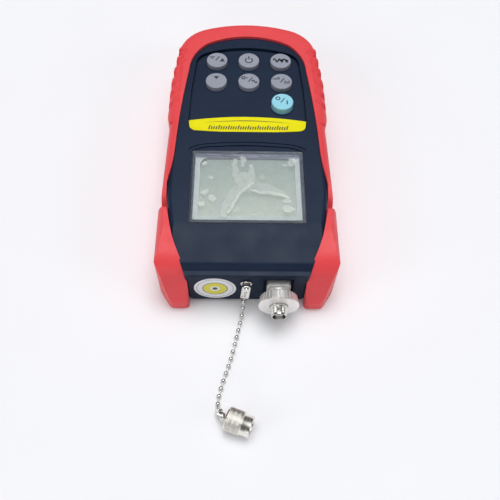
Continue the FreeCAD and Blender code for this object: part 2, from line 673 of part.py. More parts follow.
def keys():
    for name, (x, y) in key_places().items():
        key(name, x, y, BLUE_KEY_TOP if name == "key_source" else KEY_TOP)


def name_strip():
    """Arched name strip at the near end of the keypad, left blank."""
    far = Part.Arc(V(30.0, 86.8, 0), V(0, 89.6, 0), V(-30.0, 86.8, 0)).toShape()
    corners = [V(-30.0, 86.8, 0), V(-29.6, 83.2, 0), V(-26.0, 80.2, 0)]
    left = Part.LineSegment(corners[0], corners[1]).toShape()
    left_round = Part.Arc(corners[1], V(-28.6, 81.3, 0), corners[2]).toShape()
    near = Part.Arc(corners[2], V(0, 79.2, 0), V(26.0, 80.2, 0)).toShape()
    right_round = Part.Arc(V(26.0, 80.2, 0), V(28.6, 81.3, 0), V(29.6, 83.2, 0)).toShape()
    right = Part.LineSegment(V(29.6, 83.2, 0), V(30.0, 86.8, 0)).toShape()
    keep("name_strip", slab(Part.Wire([far, left, left_round, near, right_round, right]),
                            KEYPAD_FLOOR, KEYPAD_FLOOR + 0.25))


# ---------------------------------------------------------------- rubber boot
def boot_body():
    """The boot's main block, before it is hollowed: rounded all round."""
    wire = outline(both_sides([
        (36.5, 3.5, 6), (40.7, 16, 30), (40.7, 46, 150), (39.8, 84, 300),
    ] + crown(38.2, CASE_LENGTH, 18.3, 70, 22)))
    body = slab(wire, 0, BOOT_TOP)
    body = body.makeFillet(5.0, [e for e in body.Edges if abs(e.CenterOfMass.z - BOOT_TOP) < 1e-3])
    return body.makeFillet(3.5, [e for e in body.Edges if abs(e.CenterOfMass.z) < 1e-3])


def waist_cut():
    """What is taken off the boot's sides beside the display, down to the notch behind the horns."""
    profile = outline([
        (-20, 20, 0), (33.5, 20, 3), (39.5, 28.5, 8), (52, 33.6, 15), (58, 40, 0), (-20, 40, 0),
    ], side)
    cut = prism(profile, V(100, 0, 0))
    cut.translate(V(-50, 0, 0))
    return cut


def horn(s):
    """A corner bumper at the connector end, on the side whose sign is s."""
    half, tip = HORN_HALF, HORN_TIP
    foot = slab(outline([
        (27.1 * s, tip, 2.5), (35.6 * s, tip, 4), (half * s, 5.6, 9), (half * s, 33.4, 1),
        (37.7 * s, 33.4, 0.5), (33.9 * s, 15.8, 60), (27.1 * s, 0.3, 6),
    ]), 0, 40)
    above = prism(outline([
        (33.4, 0, 0), (33.4, 31.2, 1.5), (19, 32, 25), (3.2, 28.6, 13), (tip, 6.5, 1), (tip, 0, 1.5),
    ], side), V(100, 0, 0))
    above.translate(V(-50, 0, 0))
    across = prism(outline([
        (20 * s, 0, 0), (half * s, 0, 2.5), (half * s, 33.5, 9), (20 * s, 33.5, 0),
    ], front), V(0, 60, 0))
    across.translate(V(0, -10, 0))
    return foot.common(above).common(across)


def aperture():
    """The opening in the boot round the front face."""
    right = [V(0, 148.2, 0), V(13.0, 146.2, 0), V(22.4, 142.0, 0), V(28.6, 134.0, 0), V(31.5, 122.0, 0),
             V(34.4, 92.0, 0), V(35.7, 66.0, 0), V(36.4, 57.5, 0), V(38.4, 47.0, 0)]
    edges = []
    for s in (1, -1):
        p = [V(s * q.x, q.y, 0) for q in right]
        edges.append(Part.Arc(p[0], p[1], p[2]).toShape())
        edges.append(Part.Arc(p[2], p[3], p[4]).toShape())
        edges.append(Part.Arc(p[4], p[5], p[6]).toShape())
        edges.append(Part.Arc(p[6], p[7], p[8]).toShape())
        edges.append(Part.LineSegment(p[8], V(p[8].x, -20, 0)).toShape())
    edges.append(Part.LineSegment(V(right[-1].x, -20, 0), V(-right[-1].x, -20, 0)).toShape())
    return slab(Part.Wire(Part.__sortEdges__(edges)), 27, 50)


def grip_pad(s):
    """The raised grip on one side of the boot, ending in a short tail beside the keypad."""
    pad = slab(outline([
        (36.0 * s, 84.2, 0), (39.7 * s, 84.2, 0.5), (GRIP_HALF * s, 89.5, 12),
        (GRIP_HALF * s, 111.0, 90), (37.6 * s, 139.0, 1), (36.0 * s, 139.0, 0),
    ]), 0, 40)
    section = prism(outline([
        (30 * s, 4.5, 0), (GRIP_HALF * s, 4.5, 3), (GRIP_HALF * s, 33.0, 5.5), (30 * s, 33.0, 0),
    ], front), V(0, 200, 0))
    return pad.common(section)


def grip_grooves(s):
    """Slanted scoops over the shoulder and down the side that leave the grip's ridges."""
    radius = 2.2
    grooves = []
    for i in range(6):
        y = 98.0 + 7.3 * i
        inset = max(0, y - 107) ** 2 / 300
        route = [(36.8, y + 1.6, 34.6), (39.9, y, 33.0), (42.6, y - 2.5, 27.5), (42.6, y - 7.0, 9.0)]
        points = [V((u - inset) * s, v, w) for u, v, w in route]
        balls = [Part.makeSphere(radius, p) for p in points]
        rods = [rod(radius, a, b) for a, b in zip(points, points[1:])]
        grooves.append(balls[0].fuse(balls[1:] + rods))
    return grooves


def rubber_boot(envelope):
    body = boot_body().fuse([grip_pad(-1), grip_pad(1)])
    body = body.cut(grip_grooves(-1) + grip_grooves(1))
    body = body.cut(aperture())
    body = body.cut(waist_cut())
    body = body.fuse([horn(-1), horn(1)])
    body = body.cut(envelope)
    rear = outline(both_sides([(32.0, 9.5, 6), (34.8, 60, 200), (33.0, 146.5, 16)]))
    keep("rubber_boot", body.cut(slab(rear, -5, 5)))


# ---------------------------------------------------------------- assembly
def build():
    envelope, cavity = shell_envelope(), shell_cavity()
    front_shell(envelope, cavity)
    back_shell(envelope, cavity)
    rubber_boot(envelope)
    battery_cover()
    batteries()
    battery_contacts()
    fasteners()
    end_panel()
    port_sticker()
    detector_receptacle()
    receptacle_nut()
    photodiode()
    adapter_sleeve()
    alignment_sleeve()
    adapter_nut()
    chain_anchor()
    chain_clasp()
    cap_clasp()
    bead_chain()
    dust_cap()
    cap_rivet()
    display()
    main_board()
    board_components()
    key_mat()
    keys()
    name_strip()


def write_parts():
    middle = (CASE_LENGTH - PORT_REACH) / 2
    for name, shape in PARTS.items():
        moved = shape.copy()
        moved.translate(V(0, -middle, 0))
        if not moved.isValid():
            print("not valid:", name)
        moved.exportStep("parts/%s.step" % name)
        box = moved.BoundBox
        print("%-22s %2d solids  X %6.1f %6.1f  Y %6.1f %6.1f  Z %6.1f %6.1f" % (
            name, len(moved.Solids), box.XMin, box.XMax, box.YMin, box.YMax, box.ZMin, box.ZMax))


build()
write_parts()
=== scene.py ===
import json
import math

import bmesh
import bpy
from mathutils import Matrix, Vector


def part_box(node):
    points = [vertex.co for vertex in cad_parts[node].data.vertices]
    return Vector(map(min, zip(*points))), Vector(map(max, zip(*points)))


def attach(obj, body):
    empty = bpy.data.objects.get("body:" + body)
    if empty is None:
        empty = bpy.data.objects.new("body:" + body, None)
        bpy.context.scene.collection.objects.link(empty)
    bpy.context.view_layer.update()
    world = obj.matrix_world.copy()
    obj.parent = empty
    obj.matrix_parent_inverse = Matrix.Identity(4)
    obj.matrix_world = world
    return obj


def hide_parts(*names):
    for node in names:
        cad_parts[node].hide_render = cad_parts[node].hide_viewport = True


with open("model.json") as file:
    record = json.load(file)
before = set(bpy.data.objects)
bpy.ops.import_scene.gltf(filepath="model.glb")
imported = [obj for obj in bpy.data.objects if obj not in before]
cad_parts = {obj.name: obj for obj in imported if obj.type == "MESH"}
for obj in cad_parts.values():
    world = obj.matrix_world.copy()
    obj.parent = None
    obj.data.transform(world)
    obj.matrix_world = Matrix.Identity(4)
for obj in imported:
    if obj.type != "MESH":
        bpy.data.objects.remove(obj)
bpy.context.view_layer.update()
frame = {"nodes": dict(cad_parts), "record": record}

NODES = frame["nodes"]
MOUNTS = {mount["name"]: mount for mount in frame["record"]["mounts"]}
MM = 0.001

# Camera: millimetres and degrees; it looks down by its elevation
CAMERA_PLACE = (-3.24, -194.97, 253.0)
CAMERA_ELEVATION, CAMERA_YAW, CAMERA_ROLL = 59.32, 1.90, 2.12
CAMERA_LENS, CAMERA_SENSOR = 41.83, 36.0

# Studio: metres. The ceiling brightens round its axis between these two cosines, from the first
# level to the second
FLOOR_SIZE = 16.0
FLOOR_COLOUR = (0.925, 0.925, 0.95)
CEILING_AXIS, CEILING_EDGE = (0.0, 0.1, 0.995), (0.76, 0.95)
ROOM_LEVELS = (0.10, 1.86)

# Chain: the same route as the CAD tube, from the port's clasp to the cap's clasp, in metres
CHAIN_ROUTE = [
    (-0.0011, -0.0763, 0.0102), (-0.0015, -0.0773, 0.0072), (-0.0018, -0.0795, 0.0037),
    (-0.0024, -0.0831, 0.0017), (-0.0033, -0.0869, 0.00115), (-0.0043, -0.0913, 0.00115),
    (-0.0057, -0.0979, 0.00115), (-0.0074, -0.1047, 0.00115), (-0.0097, -0.1115, 0.00115),
    (-0.0115, -0.1177, 0.00115), (-0.0125, -0.1229, 0.0013), (-0.0123, -0.1267, 0.0023),
]
CHAIN_LENGTH, CHAIN_BEADS = 0.0564, 17
BEAD_FIRST, BEAD_PITCH = -0.26 * MM, 3.575 * MM
BEAD_RADIUS, BEAD_HOLE, BEAD_ROWS, BEAD_STEPS = 1.1 * MM, 0.42 * MM, 12, 24
LINK_RADIUS, LINK_TAPER, LINK_STEPS = 0.27 * MM, 0.1 * MM, 10

# Dust cap: the part's own sizes, in millimetres
CAP_RADIUS, CAP_LENGTH, CAP_END = 5.2, 7.6, 11.5
CAP_NECK, CAP_BORE, CAP_BASE, CAP_EYE = 4.6, 3.9, 2.0, 0.6
CAP_SINK, CAP_SUNK = 1.75, 0.65
CAP_MOUTH_MIDDLE = 6.75
KNURL_STARTS, KNURL_DEPTH, KNURL_PITCH = 34, 0.22, 0.92
KNURL_START, KNURL_END, KNURL_ROWS = 0.9, 0.6, 56
THREAD_PITCH, THREAD_DEPTH, THREAD_EDGES = 0.75, 0.14, 12

# Display, in millimetres: the opening in its frame, the span over which painted shade darkens its colour from
# its near edge to its far one, the painted shadow in the gap under its far lip and the window's band of
# painted shade
LCD_HALF, LCD_FAR, LCD_CORNER = 23.0, -10.0, 4.5
DISPLAY_SHADE_SPREAD = (-48, -10)
GAP_WIDTH, GAP_INSET, GAP_STEPS = 1.7, 0.35, 12
BORDER_HALF, BORDER_FAR = 25.6, -8.2

# Printed marks, in millimetres: the ink's top and underside above the face, its usual stroke, the
# growth of the keys' marks, the strip's rule and ticks, and the round label's radii
INK, INK_GAP = 0.02, 0.002
STROKE = 0.5
KEY_MARK_SIZE = 1.15
RULE_HALF, RULE_STEPS, RULE_INSET, RULE_SAG = 22.5, 40, 2.7, 1.5
TICKS, TICKS_HALF, TICK_BASE, TICK_LEAN, TICK_WIDTH = 33, 19.8, 1.75, 0.28, 0.62
TICK_TALL, TICK_SHORT, TICKS_PER_TALL = 2.8, 2.1, 4
LABEL_RING, LABEL_EDGE, LABEL_CLADDING, LABEL_CORE = (8.3, 8.6), (5.5, 5.85), (2.3, 5.4), 1.2

# Rubber fills under the grips' last grooves: their place from the boot's middle, battery end and
# underside in millimetres, the way that they face on the right, and their half sizes and sink
FILL_ACROSS, FILL_FROM_END, FILL_UP = 36.51, 27.4, 30.3
FILL_FACING = (0.9, 0.03, 0.44)
FILL_RADIUS, FILL_HEIGHT, FILL_DEPTH = 2.0 * MM, 0.9 * MM, 0.5 * MM


# ---------------------------------------------------------------- materials

class Finish:
    """A node material on one Principled shader, patterned in the model's own millimetres."""

    def __init__(self, name, roughness, metallic=0.0):
        self.material = bpy.data.materials.new(name)
        self.material.use_nodes = True
        self.tree = self.material.node_tree
        self.shader = self.tree.nodes["Principled BSDF"]
        self.shader.inputs["Roughness"].default_value = roughness
        self.shader.inputs["Metallic"].default_value = metallic
        place = self.tree.nodes.new("ShaderNodeTexCoord")
        scale = self.tree.nodes.new("ShaderNodeVectorMath")
        scale.operation = "SCALE"
        scale.inputs["Scale"].default_value = 1 / MM
        self.join(place.outputs["Object"], scale.inputs[0])
        self.place = scale.outputs[0]

    def join(self, output, target):
        self.tree.links.new(output, target)

    def noise(self, size, detail=3.0, stretch=(1, 1, 1)):
        """Noise with features of about this size in millimetres."""
        mapping = self.tree.nodes.new("ShaderNodeMapping")
        mapping.inputs["Scale"].default_value = [s / size for s in stretch]
        self.join(self.place, mapping.inputs["Vector"])
        noise = self.tree.nodes.new("ShaderNodeTexNoise")
        noise.inputs["Scale"].default_value = 1.0
        noise.inputs["Detail"].default_value = detail
        self.join(mapping.outputs[0], noise.inputs["Vector"])
        return noise.outputs["Fac"]

    def ramp(self, source, low, high, start=0.3, end=0.7):
        """Colours or numbers from low to high as the source goes from start to end."""
        ramp = self.tree.nodes.new("ShaderNodeValToRGB")
        for element, place, value in zip(ramp.color_ramp.elements, (start, end), (low, high)):
            element.position = place
            element.color = (*value, 1) if hasattr(value, "__len__") else (value, value, value, 1)
        self.join(source, ramp.inputs["Fac"])
        return ramp.outputs["Color"]

    def mix(self, factor, first, second):
        """From the first to the second, each a colour or a socket, as the factor goes from 0 to 1."""
        mix = self.tree.nodes.new("ShaderNodeMix")
        mix.data_type = "RGBA"
        self.join(factor, mix.inputs["Factor"])
        for source, target in ((first, mix.inputs["A"]), (second, mix.inputs["B"])):
            if hasattr(source, "is_linked"):
                self.join(source, target)
            else:
                target.default_value = (*source, 1)
        return mix.outputs["Result"]

    def colour(self, source):
        self.join(source, self.shader.inputs["Base Color"])

    def roughness(self, source):
        self.join(source, self.shader.inputs["Roughness"])

    def bump(self, height, depth, strength=0.5):
        """Bumps of this depth in millimetres, on top of any set before."""
        bump = self.tree.nodes.new("ShaderNodeBump")
        bump.inputs["Strength"].default_value = strength
        bump.inputs["Distance"].default_value = depth * MM
        self.join(height, bump.inputs["Height"])
        normal = self.shader.inputs["Normal"]
        if normal.is_linked:
            self.join(normal.links[0].from_socket, bump.inputs["Normal"])
        self.join(bump.outputs[0], normal)


def moulded(name, dark, light, roughness, grain=0.35, depth=0.02, shine=0.5):
    """Moulded plastic or rubber: slow colour drift, uneven gloss and a fine grain."""
    finish = Finish(name, roughness)
    finish.shader.inputs["Specular IOR Level"].default_value = shine
    finish.colour(finish.ramp(finish.noise(22, 4), dark, light))
    finish.roughness(finish.ramp(finish.noise(9, 5), roughness - 0.05, roughness + 0.06))
    finish.bump(finish.noise(grain, 2), depth)
    return finish.material


def rubber():
    """Red overmould: satin, with fine dust marks and a faint orange-peel skin."""
    finish = Finish("boot_rubber", 0.5)
    body = finish.ramp(finish.noise(26, 4), (0.79, 0.055, 0.064), (0.83, 0.066, 0.076))
    dust = finish.ramp(finish.noise(1.6, 6), 0.0, 0.16, 0.56, 0.78)
    finish.colour(finish.mix(dust, body, (0.86, 0.22, 0.23)))
    finish.roughness(finish.ramp(finish.noise(7, 5), 0.42, 0.56))
    finish.bump(finish.noise(0.5, 3), 0.03)
    finish.bump(finish.noise(3.5, 2), 0.05, 0.3)
    finish.shader.inputs["Specular IOR Level"].default_value = 0.36
    finish.shader.inputs["Sheen Weight"].default_value = 0.06
    finish.shader.inputs["Sheen Roughness"].default_value = 0.45
    return finish.material


def plated(name, tint, roughness, wear=0.08, scratches=0.004, metallic=1.0):
    """Nickel plate: slightly uneven tone and gloss with faint drawn scratches."""
    finish = Finish(name, roughness, metallic)
    low = tuple(c * 0.93 for c in tint)
    finish.colour(finish.ramp(finish.noise(2.4, 4), low, tint))
    finish.roughness(finish.ramp(finish.noise(1.2, 5), roughness, roughness + wear))
    finish.bump(finish.noise(0.16, 3, (1, 1, 6)), scratches, 0.4)
    return finish.material


def rippled_shade(name, dark, light):
    """Painted shade: a dark band with pale ripples that run across it."""
    finish = Finish(name, 0.35)
    finish.colour(finish.ramp(finish.noise(1.0, 3, (0.12, 1.3, 1)), dark, light, 0.4, 0.62))
    finish.bump(finish.noise(0.3, 2), 0.004)
    return finish.material


def printed(name, ink, faded, roughness=0.4):
    """Screen-printed ink, a little thinner in places."""
    finish = Finish(name, roughness)
    finish.colour(finish.ramp(finish.noise(0.5, 3), ink, faded, 0.35, 0.75))
    finish.bump(finish.noise(0.12, 2), 0.004)
    return finish.material


def display():
    """Unlit display: grey-green glass with a soft mottle; painted shade makes it darker towards its far edge,
    and it is lighter and yellower towards its near one.
    """
    finish = Finish("display_glass", 0.22)
    place = finish.tree.nodes.new("ShaderNodeSeparateXYZ")
    finish.join(finish.place, place.inputs[0])
    spread = finish.tree.nodes.new("ShaderNodeMapRange")
    spread.inputs["From Min"].default_value, spread.inputs["From Max"].default_value = DISPLAY_SHADE_SPREAD
    finish.join(place.outputs["Y"], spread.inputs["Value"])
    # Painted shade: darker and greener from the near edge to the far one
    near_far_shade = finish.ramp(spread.outputs[0], (0.68, 0.70, 0.505), (0.30, 0.375, 0.245), 0.0, 1.0)
    mottle = finish.ramp(finish.noise(9, 3), 0.0, 0.3)
    finish.colour(finish.mix(mottle, near_far_shade, (0.44, 0.49, 0.43)))
    finish.bump(finish.noise(0.3, 2), 0.003)
    return finish.material


def clear_pane():
    """Clear window: passes light, and mirrors more as it is seen aslant."""
    finish = Finish("window_clear", 0.04)
    finish.shader.inputs["Base Color"].default_value = (0.86, 0.88, 0.92, 1)
    finish.bump(finish.noise(12, 2), 0.01, 0.2)
    clear = finish.tree.nodes.new("ShaderNodeBsdfTransparent")
    clear.inputs["Color"].default_value = (0.93, 0.94, 0.96, 1)
    fresnel = finish.tree.nodes.new("ShaderNodeFresnel")
    fresnel.inputs["IOR"].default_value = 1.46
    blend = finish.tree.nodes.new("ShaderNodeMixShader")
    finish.join(fresnel.outputs[0], blend.inputs["Fac"])
    finish.join(clear.outputs[0], blend.inputs[1])
    finish.join(finish.shader.outputs[0], blend.inputs[2])
    finish.join(blend.outputs[0], finish.tree.nodes["Material Output"].inputs["Surface"])
    return finish.material


def protective_film():
    """Protective film: nearly clear where it sticks, milky over its trapped air; the milk on the blisters'
    rims and along the channels' edge lines is painted highlight.
    """
    finish = Finish("film_skin", 0.2)
    air = finish.tree.nodes.new("ShaderNodeAttribute")
    air.attribute_name = "air"
    haze = finish.ramp(finish.noise(3.2, 5), 0.08, 0.17)
    uneven = finish.tree.nodes.new("ShaderNodeMath")
    uneven.operation = "MULTIPLY"
    finish.join(air.outputs["Fac"], uneven.inputs[0])
    finish.join(finish.ramp(finish.noise(2.4, 4), 0.78, 1.0), uneven.inputs[1])
    # Milk here is partly painted highlight, on the rims and edge lines
    milk = finish.mix(uneven.outputs[0], haze, (0.90, 0.90, 0.90))
    finish.colour(finish.ramp(air.outputs["Fac"], (0.60, 0.68, 0.80), (0.82, 0.87, 0.83), 0.0, 0.4))
    finish.join(milk, finish.shader.inputs["Alpha"])
    finish.bump(finish.noise(1.4, 4), 0.02, 0.35)
    return finish.material


def circuit():
    """Solder mask over a copper pattern."""
    finish = Finish("board_mask", 0.35)
    tracks = finish.tree.nodes.new("ShaderNodeTexBrick")
    tracks.inputs["Scale"].default_value = 0.25
    finish.join(finish.place, tracks.inputs["Vector"])
    finish.colour(finish.mix(tracks.outputs["Fac"], (0.02, 0.17, 0.08), (0.03, 0.26, 0.12)))
    finish.bump(tracks.outputs["Fac"], 0.03)
    return finish.material


def strip_print():
    """Glossy yellow strip with a faint halftone drift."""
    finish = Finish("strip_yellow", 0.4)
    finish.shader.inputs["Specular IOR Level"].default_value = 0.12
    finish.colour(finish.ramp(finish.noise(5, 4), (0.83, 0.755, 0.003), (0.88, 0.80, 0.006)))
    finish.roughness(finish.ramp(finish.noise(1.5, 4), 0.28, 0.4))
    finish.bump(finish.noise(0.3, 2), 0.004)
    return finish.material


FINISHES = {
    "shell": moulded("shell_plastic", (0.0075, 0.0175, 0.042), (0.0105, 0.0225, 0.050), 0.42, shine=0.15),
    "boot": rubber(),
    "key_grey": moulded("key_rubber", (0.275, 0.29, 0.355), (0.315, 0.33, 0.40), 0.55, 0.2, 0.012),
    "key_blue": moulded("key_rubber_blue", (0.25, 0.62, 0.76), (0.30, 0.67, 0.81), 0.5, 0.2, 0.012),
    "window": clear_pane(),
    "film": protective_film(),
    "lcd_white": moulded("frame_white", (0.64, 0.68, 0.57), (0.70, 0.74, 0.63), 0.45, 0.3, 0.008),
    "lcd_glass": display(),
    "backlight": moulded("diffuser_milk", (0.78, 0.79, 0.75), (0.86, 0.87, 0.83), 0.3, 0.4, 0.004),
    "circuit_board": circuit(),
    "components": moulded("chip_epoxy", (0.012, 0.012, 0.014), (0.03, 0.03, 0.034), 0.5, 0.15, 0.01),
    "silicone": moulded("mat_silicone", (0.42, 0.43, 0.46), (0.50, 0.51, 0.54), 0.6, 0.3, 0.01),
    "strip": strip_print(),
    "sticker": moulded("label_stock", (0.80, 0.80, 0.84), (0.86, 0.86, 0.89), 0.3, 0.4, 0.003),
    "nickel": plated("nickel_plate", (0.80, 0.785, 0.75), 0.16),
    "steel": plated("zinc_plate", (0.66, 0.66, 0.68), 0.3),
    "ceramic": moulded("ferrule_ceramic", (0.80, 0.80, 0.78), (0.88, 0.88, 0.86), 0.12, 0.4, 0.001),
    "battery": moulded("cell_wrap", (0.03, 0.035, 0.05), (0.05, 0.055, 0.075), 0.28, 0.5, 0.004),
}
MATTE_SHELL = moulded("panel_plastic", (0.0075, 0.0170, 0.039), (0.0105, 0.0215, 0.046), 0.55, shine=0.14)
SATIN_NICKEL = plated("nickel_satin", (0.90, 0.88, 0.86), 0.37, 0.1, 0.008, 0.86)
BEAD_NICKEL = plated("nickel_beads", (0.66, 0.65, 0.63), 0.13)
NODE_FINISHES = {
    "end_panel": MATTE_SHELL, "adapter_nut": SATIN_NICKEL, "receptacle_nut": SATIN_NICKEL,
    "detector_receptacle": SATIN_NICKEL,
}
INK_DARK = printed("ink_dark", (0.008, 0.010, 0.02), (0.03, 0.03, 0.045))
INK_BLUE = printed("ink_deep_blue", (0.015, 0.06, 0.11), (0.04, 0.12, 0.19))
INK_OLIVE = printed("ink_olive", (0.030, 0.028, 0.006), (0.075, 0.07, 0.012))
INK_YELLOW = printed("ink_yellow", (0.72, 0.66, 0.03), (0.80, 0.74, 0.06))
INK_GREY = printed("ink_grey", (0.30, 0.31, 0.34), (0.42, 0.43, 0.46))
# Painted shade over the display frame's far band, with pale ripples
BORDER_SHADE = rippled_shade("border_painted_shade", (0.05, 0.06, 0.085), (0.24, 0.26, 0.33))
# Painted shadow for the gap under the display frame's far lip
SHADOW_GAP = moulded("gap_painted_shadow", (0.004, 0.006, 0.005), (0.012, 0.016, 0.014), 0.5, 0.3, 0.004)


def dress_nodes():
    """Gives each CAD node the finish of its material slot."""
    for part in frame["record"]["subparts"]:
        slots = NODES[part["node"]].data.materials
        slots.clear()
        slots.append(NODE_FINISHES.get(part["node"], FINISHES[part["material_slot"]]))


# ---------------------------------------------------------------- mesh helpers

def new_piece(name, mesh, material, smooth=True):
    """Turns a bmesh into a piece of the scene."""
    bmesh.ops.recalc_face_normals(mesh, faces=mesh.faces)
    data = bpy.data.meshes.new(name)
    mesh.to_mesh(data)
    mesh.free()
    data.materials.append(material)
    piece = bpy.data.objects.new(name, data)
    bpy.context.scene.collection.objects.link(piece)
    if smooth:
        data.shade_smooth()
        data.set_sharp_from_angle(angle=math.radians(40))
    return piece


def turning(origin, axis):
    """Matrix that takes +Z to the axis and the origin to its start."""
    return Matrix.Translation(origin) @ Vector(axis).to_track_quat("Z", "Y").to_matrix().to_4x4()


def lathe(mesh, profile, origin, axis, steps=32):
    """Revolves (radius, height) points about the axis. A closed profile makes a closed ring.

    A profile point may have a function of the angle as its radius.
    """
    place = turning(origin, axis)
    rings = []
    for radius, height in profile:
        ring = []
        for i in range(steps):
            angle = 2 * math.pi * i / steps
            r = radius(angle) if callable(radius) else radius
            ring.append(mesh.verts.new(place @ Vector((r * math.cos(angle), r * math.sin(angle), height))))
        rings.append(ring)
    for ring, after in zip(rings, rings[1:] + rings[:1]):
        for i in range(steps):
            j = (i + 1) % steps
            mesh.faces.new((ring[i], ring[j], after[j], after[i]))


# ---------------------------------------------------------------- chain and cap

def smooth_route():
    """Points along the chain's NURBS spline."""
    curve = bpy.data.curves.new("chain_route", "CURVE")
    curve.dimensions = "3D"
    spline = curve.splines.new("NURBS")
    spline.points.add(len(CHAIN_ROUTE) - 1)
    for point, place in zip(spline.points, CHAIN_ROUTE):
        point.co = (*place, 1)
    spline.order_u = 3
    spline.use_endpoint_u = True
    spline.resolution_u = 24
    route = bpy.data.objects.new("chain_route", curve)
    bpy.context.scene.collection.objects.link(route)
    bpy.context.view_layer.update()
    line = bpy.data.meshes.new_from_object(route.evaluated_get(bpy.context.evaluated_depsgraph_get()))
    points = [v.co.copy() for v in line.vertices]
    bpy.data.objects.remove(route)
    return points


def along(points, distance):
    """The place this far along a line of points."""
    for start, end in zip(points, points[1:]):
        step = (end - start).length
        if distance <= step:
            return start.lerp(end, distance / step)
        distance -= step
    return points[-1].copy()


def bead_profile():
    """Half outline of a hollow bead, from one hole's rim to the other's."""
    first = math.asin(BEAD_HOLE / BEAD_RADIUS)
    angles = [first + (math.pi - 2 * first) * i / BEAD_ROWS for i in range(BEAD_ROWS + 1)]
    outside = [(BEAD_RADIUS * math.sin(a), -BEAD_RADIUS * math.cos(a)) for a in angles]
    lip = 0.82 * outside[-1][1]
    return outside + [(BEAD_HOLE * 0.72, lip), (BEAD_HOLE * 0.72, -lip)]


def bead_chain():
    """Hollow beads joined by short wires, in place of the plain CAD tube."""
    points = smooth_route()
    length = sum((b - a).length for a, b in zip(points, points[1:]))
    centres = [along(points, min(BEAD_FIRST + BEAD_PITCH * i, length)) for i in range(CHAIN_BEADS)]
    mesh = bmesh.new()
    for i, centre in enumerate(centres):
        before, after = centres[max(i - 1, 0)], centres[min(i + 1, CHAIN_BEADS - 1)]
        lathe(mesh, bead_profile(), centre, after - before, BEAD_STEPS)
    for start, end in zip(centres, centres[1:]):
        reach = (end - start).length
        wire = [(LINK_RADIUS * 0.3, 0), (LINK_RADIUS, LINK_TAPER), (LINK_RADIUS, reach - LINK_TAPER),
                (LINK_RADIUS * 0.3, reach)]
        lathe(mesh, wire, start, end - start, LINK_STEPS)
    chain = new_piece("chain_beads", mesh, BEAD_NICKEL)
    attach(chain, "meter")
    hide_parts("bead_chain")
    return chain, points


def knurled(height):
    """Radius of the cap's barrel as a function of the angle: crossed grooves leave small pyramids."""
    def ridge(turns):
        return abs((turns % 1.0) * 2 - 1)

    def radius(angle):
        around, up = KNURL_STARTS * angle / (2 * math.pi), height / KNURL_PITCH
        return (CAP_RADIUS - KNURL_DEPTH * max(ridge(around + up), ridge(around - up))) * MM

    return radius


def nickel_with_groove_shade():
    """Warm nickel of the cap, with painted shade darkening it in its knurl's grooves."""
    finish = Finish("cap_nickel", 0.2, 1.0)
    groove = finish.tree.nodes.new("ShaderNodeAttribute")
    groove.attribute_name = "groove"
    plate = finish.ramp(finish.noise(2.4, 4), (0.83, 0.80, 0.74), (0.89, 0.86, 0.80))
    # Painted shade: the colour darkens with the depth of the groove
    finish.colour(finish.mix(groove.outputs["Fac"], plate, (0.60, 0.575, 0.53)))
    finish.roughness(finish.ramp(finish.noise(1.2, 5), 0.2, 0.3))
    finish.bump(finish.noise(0.16, 3, (1, 1, 6)), 0.004, 0.4)
    return finish.material


def mark_grooves(cap, place):
    """Stores how deep each point of the knurl lies, from 0 on a tip to 1 in a groove; it sets the painted
    shade in the grooves.
    """
    back = place.inverted()
    depths = []
    for vertex in cap.data.vertices:
        p = back @ vertex.co
        if KNURL_START * MM <= p.z <= (CAP_LENGTH - KNURL_END) * MM:
            depths.append(min((CAP_RADIUS * MM - math.hypot(p.x, p.y)) / (KNURL_DEPTH * MM), 1.0))
        else:
            depths.append(0.0)
    groove = cap.data.attributes.new("groove", "FLOAT", "POINT")
    groove.data.foreach_set("value", depths)


def cap_profile():
    """Section of the cap: rear face, knurled barrel, polished neck, rim and threaded bore."""
    first, last = KNURL_START, CAP_LENGTH - KNURL_END
    barrel = [first + (last - first) * i / KNURL_ROWS for i in range(KNURL_ROWS + 1)]
    bore = [CAP_END - 0.7 - THREAD_PITCH * i / 2 for i in range(THREAD_EDGES)]
    profile = [(CAP_EYE * MM, 0), ((CAP_RADIUS - 1.0) * MM, 0), ((CAP_RADIUS - 0.35) * MM, 0.3 * MM),
               ((CAP_RADIUS - 0.15) * MM, 0.75 * MM)]
    profile += [(knurled(h), h * MM) for h in barrel]
    plain = [
        (CAP_RADIUS - 0.15, CAP_LENGTH - 0.45), (CAP_RADIUS - 0.5, CAP_LENGTH - 0.1),
        (CAP_NECK + 0.1, CAP_LENGTH), (CAP_NECK, CAP_LENGTH + 0.12), (CAP_NECK, CAP_END - 0.3),
        (CAP_NECK - 0.12, CAP_END - 0.08), (CAP_NECK - 0.3, CAP_END), (CAP_BORE + 0.15, CAP_END),
        (CAP_BORE, CAP_END - 0.2),
    ]
    profile += [(r * MM, h * MM) for r, h in plain]
    profile += [((CAP_BORE + THREAD_DEPTH * (i % 2)) * MM, h * MM) for i, h in enumerate(bore)]
    base = [(CAP_BORE, CAP_BASE), (CAP_SINK, CAP_BASE), (CAP_SINK, CAP_BASE - CAP_SUNK),
            (CAP_EYE, CAP_BASE - CAP_SUNK)]
    return profile + [(r * MM, h * MM) for r, h in base]


def dust_cap():
    """Cap with real knurling and thread, in place of the plain CAD cap."""
    mouth = MOUNTS["cap_mouth"]
    axis = Vector(mouth["axis"]).normalized()
    rear = Vector(mouth["pos_m"]) - axis * CAP_MOUTH_MIDDLE * MM
    mesh = bmesh.new()
    lathe(mesh, cap_profile(), rear, axis, KNURL_STARTS * 8)
    cap = new_piece("knurled_cap", mesh, nickel_with_groove_shade())
    mark_grooves(cap, turning(rear, axis))
    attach(cap, "meter")
    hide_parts("dust_cap")
    return cap


# ---------------------------------------------------------------- printed marks

